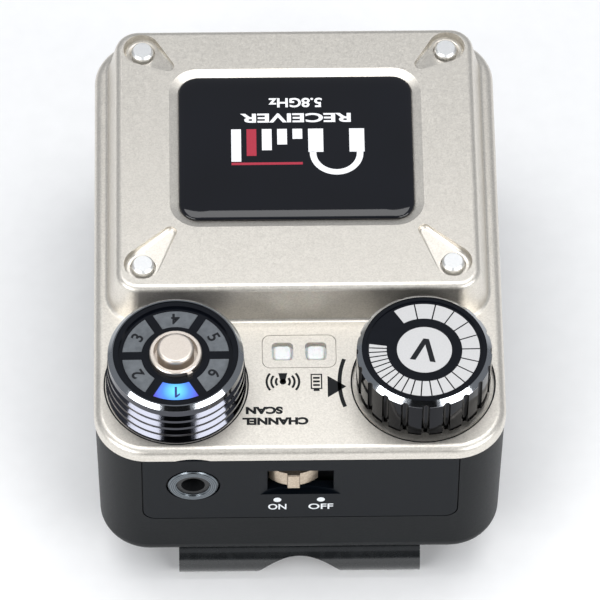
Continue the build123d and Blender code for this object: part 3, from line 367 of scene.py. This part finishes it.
# ---- boards and lamps -------------------------------------------------------------------
# Inside the shell: glass-fibre boards in green solder mask with copper runs showing
# through, black epoxy chips, tinned steel cans and legs, and small white lamps.
run_pitch = 1.27 * mm
board_green, tree, shader = finish_for("solder_mask_over_copper", IOR=1.5, Coat_Weight=0.3)
runs = add(tree, "ShaderNodeTexBrick", {
    "Vector": own_place(tree), "Scale": 1 / run_pitch, "Mortar Size": 0.12, "Brick Width": 3.0,
    "Row Height": 1.0, "Color1": linear("#123d22"), "Color2": linear("#164829"),
    "Mortar": linear("#2e7a48")})
tree.links.new(runs.outputs["Color"], shader.inputs["Base Color"])
vary(tree, shader, "Roughness", runs.outputs["Fac"], 0.3, 0.42)
relief = add(tree, "ShaderNodeBump", {"Height": runs.outputs["Fac"], "Distance": 0.03 * mm})
tree.links.new(relief.outputs["Normal"], shader.inputs["Normal"])
put_on(board_green, "main_board", "channel_board")

epoxy, tree, shader = finish_for("moulded_epoxy_chip", IOR=1.55)
grit = skin(tree, shader, 0.15 * mm, 0.008 * mm)
vary(tree, shader, "Roughness", grit, 0.5, 0.65)
vary(tree, shader, "Base Color", grit, "#141414", "#1f1f20")
put_on(epoxy, "board_chips", "scan_switch")

tinned, tree, shader = finish_for("tinned_steel", Metallic=1.0)
crystals = skin(tree, shader, 1.2 * mm, 0.006 * mm, 4.0)
vary(tree, shader, "Roughness", crystals, 0.25, 0.42)
vary(tree, shader, "Base Color", crystals, "#a9adb0", "#c8cbcc")
put_on(tinned, "rf_shield", "usb_shell", "antennas", "volume_pot", "pot_legs", "pot_nut",
       "pot_shaft", "channel_pins", "jack_contacts")

lamp_body, tree, shader = finish_for("white_lamp_resin", IOR=1.5, Subsurface_Weight=0.2)
resin = skin(tree, shader, 0.4 * mm, 0.006 * mm)
vary(tree, shader, "Base Color", resin, "#dfe3da", "#f2f3ea")
vary(tree, shader, "Roughness", resin, 0.25, 0.4)
put_on(lamp_body, "status_lamps", "channel_lamps", "usb_blade", "battery_plug", "scan_plunger")

# ---- battery ----------------------------------------------------------------------------
# A lithium pouch cell in crinkled silver film, on a strip of black foam, with two silicone
# wires to a plug under the board.
pouch, tree, shader = finish_for("crinkled_pouch_film", Metallic=0.9)
crinkle = skin(tree, shader, 6 * mm, 0.25 * mm, 5.0)
vary(tree, shader, "Roughness", crinkle, 0.2, 0.38)
vary(tree, shader, "Base Color", crinkle, "#8f959b", "#c3c8cc")
put_on(pouch, "battery_cell")

foam, tree, shader = finish_for("black_foam_strip", IOR=1.45)
cells = add(tree, "ShaderNodeTexVoronoi", {"Vector": own_place(tree), "Scale": 1 / (0.6 * mm)})
pores = add(tree, "ShaderNodeBump", {"Height": cells.outputs["Distance"], "Distance": 0.2 * mm})
tree.links.new(pores.outputs["Normal"], shader.inputs["Normal"])
vary(tree, shader, "Base Color", cells.outputs["Distance"], "#0a0a0a", "#242424")
vary(tree, shader, "Roughness", cells.outputs["Distance"], 0.85, 1.0)
put_on(foam, "battery_pad")

silicone, tree, shader = finish_for("red_silicone_wire", IOR=1.43)
jacket = skin(tree, shader, 0.5 * mm, 0.01 * mm)
vary(tree, shader, "Base Color", jacket, "#7c1210", "#a01c18")
vary(tree, shader, "Roughness", jacket, 0.45, 0.6)
put_on(silicone, "battery_leads")

# ---- silver top -------------------------------------------------------------------------
# The lid: moulded ABS in champagne-silver metallic paint. Its flakes sparkle at about the
# size of a grain of fine sand, and its slopes flare where they face a softbox.
silver = metal_paint("silver_metallic_paint", "#c9c4bb", "#e9e4db", 0.4, 0.007 * mm)
put_on(silver, "top_shell", "indicator_bezel")

# ---- badge ------------------------------------------------------------------------------
# A poured dome of clear epoxy over a black plate, dropped in the plateau's pocket. Its
# surface tension rounds the border steeply and leaves the middle almost flat. The print
# is a plain headphone mark with level bars in white and red.
badge_low, badge_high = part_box("badge_plate")
badge_middle = (badge_low + badge_high) / 2
badge_half = (badge_high - badge_low) / 2
badge_corner = 3.0 * mm
dome_border = 2.6 * mm  # width of the rounded border
dome_lip = 0.75 * mm  # border's foot below the dome's top
dome_crown = 0.16 * mm  # fall from the middle to the border


def badge_outline(share):
    """Rounded rectangle, shrunk towards the middle of the badge."""
    points = []
    for quarter, (sx, sy) in enumerate(((1, 1), (-1, 1), (-1, -1), (1, -1))):
        centre = (sx * (badge_half.x - badge_corner), sy * (badge_half.y - badge_corner))
        points += arc(badge_corner, 90 * quarter, 90 * quarter + 90, 10, centre)
    return [(x * share, y * share) for x, y in points]


def dome_height(x, y, share=0.0):
    """Height of the dome over a point; share runs from 0 in the middle to 1 at the edge."""
    fall = dome_crown * ((x / badge_half.x) ** 2 + (y / badge_half.y) ** 2) / 2
    into = max(0.0, 1 - (1 - share) * badge_half.y / dome_border)
    return badge_high.z - fall - (dome_lip - dome_crown) * (1 - (1 - into ** 2.4) ** (1 / 2.4))


dome = bmesh.new()
shares = [1.0, 0.997, 0.99, 0.98, 0.965, 0.945, 0.92, 0.89, 0.86, 0.83, 0.8, 0.7, 0.55, 0.35, 0.15]
rows = [[dome.verts.new((x, y, badge_low.z)) for x, y in badge_outline(1.0)]]
for share in shares:
    rows.append([dome.verts.new((x, y, dome_height(x, y, share))) for x, y in badge_outline(share)])
for outer, inner in zip(rows, rows[1:]):
    for i, corner in enumerate(outer):
        dome.faces.new((outer[i - 1], corner, inner[i], inner[i - 1]))
dome.faces.new(rows[-1])
dome.faces.new(rows[0][::-1])
bmesh.ops.recalc_face_normals(dome, faces=dome.faces)
dome_mesh = bpy.data.meshes.new("badge_dome")
dome.to_mesh(dome_mesh)
dome.free()
dome_mesh.transform(Matrix.Translation((badge_middle.x, badge_middle.y, 0)))
dome_mesh.polygons.foreach_set("use_smooth", [True] * len(dome_mesh.polygons))
badge = bpy.data.objects.new("badge_dome", dome_mesh)
bpy.context.scene.collection.objects.link(badge)

epoxy_dome, tree, shader = finish_for("poured_epoxy_dome", IOR=1.5)
settle = skin(tree, shader, 9 * mm, 0.01 * mm, 1.0)
vary(tree, shader, "Base Color", settle, "#03040a", "#070912")
dust = add(tree, "ShaderNodeTexNoise", {
    "Vector": own_place(tree), "Scale": 1 / (0.3 * mm), "Detail": 2.0})
vary(tree, shader, "Roughness", dust.outputs["Fac"], 0.03, 0.09)
dome_mesh.materials.append(epoxy_dome)
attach(badge, "case")
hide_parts("badge_plate")

badge_white, tree, shader = finish_for("white_screen_print", IOR=1.5)
cover = skin(tree, shader, 0.15 * mm, 0.002 * mm)
vary(tree, shader, "Base Color", cover, "#e9eaec", "#f7f7f8")
vary(tree, shader, "Roughness", cover, 0.25, 0.35)
badge_red, tree, shader = finish_for("red_screen_print", IOR=1.5)
cover = skin(tree, shader, 0.15 * mm, 0.002 * mm)
vary(tree, shader, "Base Color", cover, "#9c2638", "#b03044")
vary(tree, shader, "Roughness", cover, 0.25, 0.35)


def on_dome(piece, x, y):
    """Lays a print on the dome, turned to read from the control end's far side."""
    for v in piece.data.vertices:
        px, py = -(v.co.x + x), -(v.co.y + y)
        v.co = (badge_middle.x + px, badge_middle.y + py, dome_height(px, py) + v.co.z)
    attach(piece, "case")
    return piece


def upright(x0, x1, y0, y1):
    return [(x0, y0), (x1, y0), (x1, y1), (x0, y1)]


band_outer, band_inner, cup_width, cup_height = 4.1 * mm, 3.1 * mm, 2.3 * mm, 4.4 * mm
cup_low = -4.6 * mm
headband = arc(band_outer, 0, 180, 30) + arc(band_inner, 180, 0, 30)
stalks = [
    upright(s * band_inner, s * band_outer, cup_low + cup_height / 2, 0) for s in (-1, 1)]
cups = [
    upright(s * (band_outer + 0.2 * mm) - (cup_width if s > 0 else 0),
            s * (band_outer + 0.2 * mm) + (0 if s > 0 else cup_width), cup_low, cup_low + cup_height)
    for s in (-1, 1)]
headphones = stamp("badge_headphones", [headband] + stalks + cups, badge_white)
on_dome(headphones, -6.2 * mm, 1.5 * mm)

bar_width, bar_pitch, bar_count = 1.5 * mm, 2.35 * mm, 5
bar_heights = [(1.9 + 1.05 * i) * mm for i in range(bar_count)]
bars_low = -3.1 * mm
bar_loops = [
    upright(i * bar_pitch, i * bar_pitch + bar_width, bars_low, bars_low + bar_heights[i])
    for i in range(bar_count)]
on_dome(stamp("badge_bars_white", bar_loops[:3] + bar_loops[4:], badge_white), -1.0 * mm, 0)
on_dome(stamp("badge_bar_red", bar_loops[3:4], badge_red), -1.0 * mm, 0)
on_dome(stamp("badge_line_red", [upright(0, 10.9 * mm, 3.2 * mm, 3.65 * mm)], badge_red), -1.0 * mm, 0)
on_dome(lettering("badge_receiver", "RECEIVER", 1.75 * mm, badge_white, 17.0 * mm, 0.03), 0, -5.2 * mm)
on_dome(lettering("badge_band", "5.8GHz", 1.8 * mm, badge_white, 8.2 * mm, 0.025), 0, -8.1 * mm)

# ---- corner studs -----------------------------------------------------------------------
# Four pressed-in studs that stand for screws at the plateau's corners: moulded ABS with a
# bright satin chrome plate.
satin_chrome, tree, shader = finish_for("satin_chrome_plate", Metallic=1.0)
brush = skin(tree, shader, 0.3 * mm, 0.004 * mm)
vary(tree, shader, "Base Color", brush, "#e9eaea", "#fbfbfa")
vary(tree, shader, "Roughness", brush, 0.34, 0.44)
put_on(satin_chrome, "corner_studs")

# ---- indicators and deck prints ---------------------------------------------------------
# Two milky polycarbonate lenses under a painted bezel, with black pad-printed signs on the
# deck: radio waves, battery, the knob's turning arrow, and the scan and channel words.
milky, tree, shader = finish_for(
    "milky_polycarbonate", IOR=1.58, Subsurface_Weight=0.35, Subsurface_Scale=0.001)
haze = skin(tree, shader, 0.8 * mm, 0.01 * mm)
vary(tree, shader, "Base Color", haze, "#eff0f1", "#fbfbfb")
vary(tree, shader, "Roughness", haze, 0.22, 0.34)
put_on(milky, "signal_light_pipe", "battery_light_pipe")

black_ink, tree, shader = finish_for("black_pad_print", IOR=1.5, Specular_IOR_Level=0.2)
cover = skin(tree, shader, 0.15 * mm, 0.004 * mm)
vary(tree, shader, "Base Color", cover, "#090b0c", "#14171a")
vary(tree, shader, "Roughness", cover, 0.4, 0.55)

bezel_low, bezel_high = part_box("indicator_bezel")
deck = bezel_high.z
sign_y = (bezel_low.y + bezel_high.y) / 2 - 5.5 * mm
signal_x = sum(c.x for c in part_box("signal_light_pipe")) / 2
battery_x = sum(c.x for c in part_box("battery_light_pipe")) / 2
knob_low, knob_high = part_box("knob_skirt")
knob_middle = (knob_low + knob_high) / 2


def on_deck(piece, x, y, turn=0.0):
    piece.matrix_world = Matrix.Translation((x, y, deck)) @ Matrix.Rotation(radians(turn), 4, "Z")
    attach(piece, "case")
    return piece


wave_radii = (1.05 * mm, 1.75 * mm, 2.45 * mm)
wave_stroke = 0.17 * mm
wave_half_angle = 38
waves = []
for r in wave_radii:
    for side in (0, 180):
        low, high = side - wave_half_angle, side + wave_half_angle
        waves.append(arc(r + wave_stroke, low, high) + arc(r - wave_stroke, high, low))
mast = [(-0.28 * mm, -0.2 * mm), (0.28 * mm, -0.2 * mm), (0.68 * mm, 1.55 * mm), (-0.68 * mm, 1.55 * mm)]
head = arc(0.5 * mm, 0, 345, 23)
on_deck(stamp("sign_radio_waves", waves + [mast, head], black_ink), signal_x, sign_y)

cell_width, cell_height, cell_line = 1.75 * mm, 2.75 * mm, 0.2 * mm
half_w, half_h = cell_width / 2, cell_height / 2
cell_frame = [
    upright(-half_w, -half_w + cell_line, -half_h, half_h),
    upright(half_w - cell_line, half_w, -half_h, half_h),
    upright(-half_w + cell_line, half_w - cell_line, half_h - cell_line, half_h),
    upright(-half_w + cell_line, half_w - cell_line, -half_h, -half_h + cell_line),
    upright(-0.45 * mm, 0.45 * mm, -half_h - 0.35 * mm, -half_h)]
cell_bars = [
    upright(-0.5 * mm, 0.5 * mm, y * mm - 0.17 * mm, y * mm + 0.17 * mm) for y in (-0.65, 0.0, 0.65)]
on_deck(stamp("sign_battery", cell_frame + cell_bars, black_ink), battery_x, sign_y)

arrow_reach = 12.6 * mm  # from the knob's axis
arrow_stroke = 0.3 * mm
arrow_arc = (
    arc(arrow_reach + arrow_stroke, 160, 200) + arc(arrow_reach - arrow_stroke, 200, 160))
arrow_head = [(-14.4 * mm, 1.3 * mm), (-14.4 * mm, -2.6 * mm), (-11.6 * mm, -0.65 * mm)]
on_deck(stamp("sign_turn_arrow", [arrow_arc, arrow_head], black_ink), knob_middle.x, knob_middle.y)

word_height = 1.33 * mm  # both words read from the far side, so they're turned half round
channel_word = lettering("word_channel", "CHANNEL", word_height, black_ink, 9.9 * mm, 0.055)
on_deck(channel_word, -3.75 * mm, -33.15 * mm, 180)
scan_word = lettering("word_scan", "SCAN", word_height, black_ink, 5.55 * mm, 0.055)
on_deck(scan_word, -5.4 * mm, -31.2 * mm, 180)

# ---- channel turret ---------------------------------------------------------------------
# A turned and polished brass barrel with a black chrome plate. The bevel round its top has a
# lighter base colour, a painted highlight, and the ribs below it stay nearly black. A thin
# black ring in the fine groove round its foot is a painted groove shadow.
turret_low, turret_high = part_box("channel_turret")
turret_middle = (turret_low + turret_high) / 2
highlight_edge = 0.04 * mm  # height over which the painted highlight fades into the black plate


def black_chrome(name, dark, highlight_above):
    """Polished black chrome, painted lighter above a height in metres: a painted highlight on the bevel.
    """
    made, tree, shader = finish_for(name, Metallic=1.0)
    polish = skin(tree, shader, 0.6 * mm, 0.0012 * mm)
    vary(tree, shader, "Roughness", polish, 0.05, 0.11)
    height = add(tree, "ShaderNodeSeparateXYZ", {"Vector": own_place(tree)})
    # The lighter base colour above this height is a painted highlight, not a different finish.
    painted_highlight = add(tree, "ShaderNodeMapRange", {
        "Value": height.outputs["Z"], "From Min": highlight_above - highlight_edge, "From Max": highlight_above})
    vary(tree, shader, "Base Color", painted_highlight.outputs["Result"], dark, "#9a9da1")
    return made


turret_bevel = 0.6 * mm
turret_chrome = black_chrome("turret_black_chrome", "#46474d", turret_high.z - turret_bevel)
put_on(turret_chrome, "channel_turret")

# A thin black ring laid in the groove round the turret's foot: a painted groove shadow.
shadow_line_inner, shadow_line_outer = 10.72 * mm, 10.93 * mm
groove_shadow, tree, shader = finish_for("painted_groove_shadow", IOR=1.52, Specular_IOR_Level=0.2)
shadow_grain = skin(tree, shader, 0.2 * mm, 0.004 * mm)
vary(tree, shader, "Base Color", shadow_grain, "#0a0b0d", "#15171a")
vary(tree, shader, "Roughness", shadow_grain, 0.55, 0.7)
shadow_line_ring = arc(shadow_line_outer, 0, 360, 96) + arc(shadow_line_inner, 360, 0, 96)
on_deck(stamp("turret_groove_shadow", [shadow_line_ring], groove_shadow), turret_middle.x, turret_middle.y)

# ---- turret face, windows and numbers ---------------------------------------------------
# A gloss black acrylic ring with six smoked windows. The chosen channel's window glows
# cyan over its lamp and violet at its edges. The numbers are printed on the windows.
acrylic, tree, shader = finish_for("gloss_black_acrylic", IOR=1.49, Specular_IOR_Level=0.3)
polish = skin(tree, shader, 2.0 * mm, 0.002 * mm)
vary(tree, shader, "Base Color", polish, "#06080e", "#0c0f16")
vary(tree, shader, "Roughness", polish, 0.08, 0.15)
put_on(acrylic, "turret_face", "knob_disc")

smoked, tree, shader = finish_for("smoked_acrylic_window", IOR=1.49, Coat_Weight=0.2)
cloud = skin(tree, shader, 0.9 * mm, 0.006 * mm, 4.0)
vary(tree, shader, "Base Color", cloud, "#42464a", "#6c7176")
vary(tree, shader, "Roughness", cloud, 0.25, 0.4)
put_on(smoked, *[f"channel_window_{n}" for n in range(2, 7)])

lamp_at = (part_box("channel_window_1")[0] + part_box("channel_window_1")[1]) / 2
lit, tree, shader = finish_for("lit_channel_window", IOR=1.49, Emission_Strength=1.15)
grain = skin(tree, shader, 0.9 * mm, 0.004 * mm)
vary(tree, shader, "Roughness", grain, 0.2, 0.3)
from_lamp = add(tree, "ShaderNodeVectorMath", {0: own_place(tree), 1: lamp_at}, operation="DISTANCE")
spill = add(tree, "ShaderNodeMapRange", {
    "Value": from_lamp.outputs["Value"], "From Min": 0.6 * mm, "From Max": 3.4 * mm})
glow = add(tree, "ShaderNodeValToRGB", {"Fac": spill.outputs["Result"]})
glow.color_ramp.elements[0].color = linear("#6fe2ff")
glow.color_ramp.elements[1].color = linear("#5a49c8")
middle_glow = glow.color_ramp.elements.new(0.5)
middle_glow.color = linear("#4f8dfa")
tree.links.new(glow.outputs["Color"], shader.inputs["Emission Color"])
shader.inputs["Base Color"].default_value = linear("#10204a")
put_on(lit, "channel_window_1")

number_ink, tree, shader = finish_for("dark_number_print", IOR=1.5, Specular_IOR_Level=0.2)
cover = skin(tree, shader, 0.15 * mm, 0.002 * mm)
vary(tree, shader, "Base Color", cover, "#0a0c11", "#12151b")
vary(tree, shader, "Roughness", cover, 0.35, 0.5)
blue_ink, tree, shader = finish_for("number_print_over_light", IOR=1.5, Emission_Strength=0.25)
cover = skin(tree, shader, 0.15 * mm, 0.002 * mm)
vary(tree, shader, "Base Color", cover, "#0b1a4a", "#12256a")
shader.inputs["Emission Color"].default_value = linear("#1c3fb0")

number_reach = 6.6 * mm
number_height = 1.9 * mm
number_turns = (180, 120, 60, 180, -60, -120)
window_step = -60
window_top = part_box("channel_window_1")[1].z
one = [(-0.17, -0.95), (0.17, -0.95), (0.17, 0.95), (-0.1, 0.95), (-0.6, 0.5), (-0.6, 0.2), (-0.17, 0.5)]
for n, turn in enumerate(number_turns, start=1):
    if n == 1:
        number = stamp("number_1", [[(x * mm, y * mm) for x, y in one]], blue_ink)
    else:
        number = lettering(f"number_{n}", str(n), number_height, number_ink, None, 0.02)
    a = radians(-90 + (n - 1) * window_step)
    number.matrix_world = Matrix.Translation((
        turret_middle.x + number_reach * cos(a), turret_middle.y + number_reach * sin(a), window_top,
    )) @ Matrix.Rotation(radians(turn), 4, "Z")
    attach(number, "case")

# Light from window 1 escapes at the foot of the face's inner step as a thin blue line.
edge_glow, tree, shader = finish_for("light_escaping_at_the_step", Emission_Strength=0.9)
fade = add(tree, "ShaderNodeVectorMath", {0: own_place(tree), 1: lamp_at}, operation="DISTANCE")
fade_share = add(tree, "ShaderNodeMapRange", {
    "Value": fade.outputs["Value"], "From Min": 2.0 * mm, "From Max": 4.6 * mm})
vary(tree, shader, "Emission Color", fade_share.outputs["Result"], "#4f52ff", "#07081a")
shader.inputs["Base Color"].default_value = linear("#0a0c12")
leak_outer, leak_inner, leak_start, leak_end = 8.58 * mm, 8.42 * mm, -122, -58
leak_rise = 0.08 * mm  # windows' tops to the face round them
leak = stamp("window_light_line", [
    arc(leak_outer, leak_start, leak_end) + arc(leak_inner, leak_end, leak_start)], edge_glow)
leak.matrix_world = Matrix.Translation((turret_middle.x, turret_middle.y, window_top + leak_rise))
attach(leak, "case")

# ---- scan button ------------------------------------------------------------------------
# A turned aluminium cap in its collar, both bead blasted and anodised champagne, so that
# they look soft and slightly warm beside the chrome.
blasted, tree, shader = finish_for("champagne_anodised_aluminium", Metallic=1.0)
beads = skin(tree, shader, 0.16 * mm, 0.006 * mm)
vary(tree, shader, "Base Color", beads, "#c8beb3", "#e4dbd2")
vary(tree, shader, "Roughness", beads, 0.34, 0.42)
put_on(blasted, "scan_button", "button_collar")

# ---- volume knob ------------------------------------------------------------------------
# A fluted skirt in a deeper black chrome than the turret's, with a gloss black acrylic disc
# let in its top. Its bevel is painted lighter, a painted highlight. The disc's level segments
# and centre are silver-grey screen print. A black line in the groove round the dish that the
# knob turns in is a painted groove shadow.
knob_bevel = 0.8 * mm
knob_chrome = black_chrome("knob_black_chrome", "#1a1b1f", knob_high.z - knob_bevel)
put_on(knob_chrome, "knob_skirt")
# The same thin black ring in the groove round the knob's dish: a painted groove shadow.
on_deck(stamp("knob_dish_groove_shadow", [shadow_line_ring], groove_shadow), knob_middle.x, knob_middle.y)
disc_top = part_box("knob_disc")[1].z
grey_ink, tree, shader = finish_for("silver_grey_screen_print", IOR=1.5, Metallic=0.25)
cover = skin(tree, shader, 0.18 * mm, 0.002 * mm)
vary(tree, shader, "Base Color", cover, "#b9b9ba", "#d0cfce")
vary(tree, shader, "Roughness", cover, 0.32, 0.45)

segment_inner, segment_outer, segment_gap = 5.66 * mm, 8.3 * mm, 0.2 * mm
segment_count = 25
disc_step = 0.2 * mm  # middle of the disc below its rim
segment_shrink = 0.941  # each segment is this share of the one before
sweep_start, sweep = 122.5, 311.0
first_width = sweep * (1 - segment_shrink) / (1 - segment_shrink ** segment_count)
segments = []
angle = sweep_start
for i in range(segment_count):
    width = first_width * segment_shrink ** i
    sides = []
    for r in (segment_outer, segment_inner):
        inset = asin(segment_gap / 2 / r) * 180 / pi
        sides.append(arc(r, angle - inset, angle - width + inset, 8))
    segments.append(sides[0] + sides[1][::-1])
    angle -= width
hub_radius = 4.12 * mm
hub_disc = arc(hub_radius, 0, 355, 71)


def on_disc(piece, lift):
    """Lays a print on the disc's sunk middle."""
    height = disc_top - disc_step + lift
    piece.matrix_world = Matrix.Translation((knob_middle.x, knob_middle.y, height))
    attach(piece, "volume_knob")
    return piece


on_disc(stamp("knob_segments", segments, grey_ink), 0)
on_disc(stamp("knob_centre_disc", [hub_disc], grey_ink), 0)
letter = [
    (-1.95, -2.0), (-0.42, 2.0), (0.42, 2.0), (1.95, -2.0), (1.1, -2.0), (0.0, 0.95), (-1.1, -2.0)]
lean = radians(-9)
leaning = [
    ((x * cos(lean) - y * sin(lean)) * mm, (x * sin(lean) + y * cos(lean)) * mm) for x, y in letter]
on_disc(stamp("knob_pointer_letter", [leaning], number_ink), print_rise)

# ---- belt clip and screws ---------------------------------------------------------------
# One strip of spring steel, bent to a U and screwed to the shell's floor, in gloss black
# stoving enamel. The screws are black zinc-plated steel.
enamel, tree, shader = finish_for(
    "black_enamel_on_spring_steel", IOR=1.5, Coat_Weight=0.6, Coat_Roughness=0.08)
peel = skin(tree, shader, 1.4 * mm, 0.02 * mm, 3.0)
vary(tree, shader, "Base Color", peel, "#0d0f11", "#171a1c")
vary(tree, shader, "Roughness", peel, 0.2, 0.34)
put_on(enamel, "clip_leg", "clip_tongue")

black_zinc, tree, shader = finish_for("black_zinc_plate", Metallic=1.0)
plating = skin(tree, shader, 0.25 * mm, 0.006 * mm)
vary(tree, shader, "Base Color", plating, "#2a2b2d", "#414346")
vary(tree, shader, "Roughness", plating, 0.32, 0.5)
put_on(black_zinc, "case_screws", "clip_screws", "board_screws")
